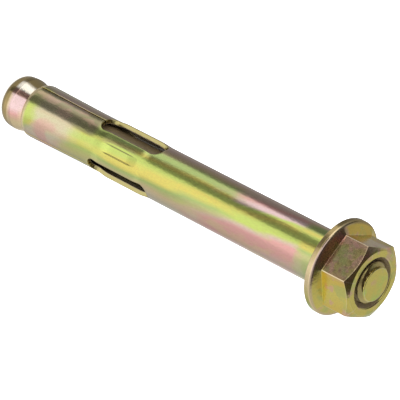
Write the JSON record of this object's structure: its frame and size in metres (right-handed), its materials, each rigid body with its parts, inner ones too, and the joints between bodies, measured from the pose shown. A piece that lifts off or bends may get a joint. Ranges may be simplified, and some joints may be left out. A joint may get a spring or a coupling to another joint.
{
  "type": "sleeve anchor",
  "caption": "Sleeve anchor with a hex flange nut: a stud with an expander cone at its end, inside a split sleeve with windows, yellow zinc plated steel.",
  "frame": {"origin": "centre of the expander's flat end, on the anchor's axis", "axes": "+Z along the axis from the expander to the nut; +X through the middle of one sleeve window"},
  "size_m": [0.0178, 0.0178, 0.0887],
  "materials": {
    "stud_zinc": "yellow passivated zinc plate, glossy, iridescent green to pink",
    "sleeve_zinc": "yellow passivated zinc plate, glossy, iridescent green to pink",
    "nut_zinc": "yellow passivated zinc plate, glossy, iridescent green to pink"
  },
  "bodies": {
    "stud": {"expander_stud": "stud_zinc"},
    "sleeve": {"split_sleeve": "sleeve_zinc"},
    "nut": {"flange_nut": "nut_zinc"}
  },
  "joints": [
    {"name": "sleeve_slide", "type": "slide", "parent": "stud", "child": "sleeve", "axis": [0, 0, 1], "range_m": [0, 0.0075]},
    {"name": "nut_spin", "type": "hinge", "parent": "sleeve", "child": "nut", "pos_m": [0, 0, 0.08], "axis": [0, 0, 1], "range_deg": [0, 2160]}
  ],
  "couplings": [
    {"joint": "nut_spin", "follows": "sleeve_slide", "rad_per_m": 5026.5}
  ]
}
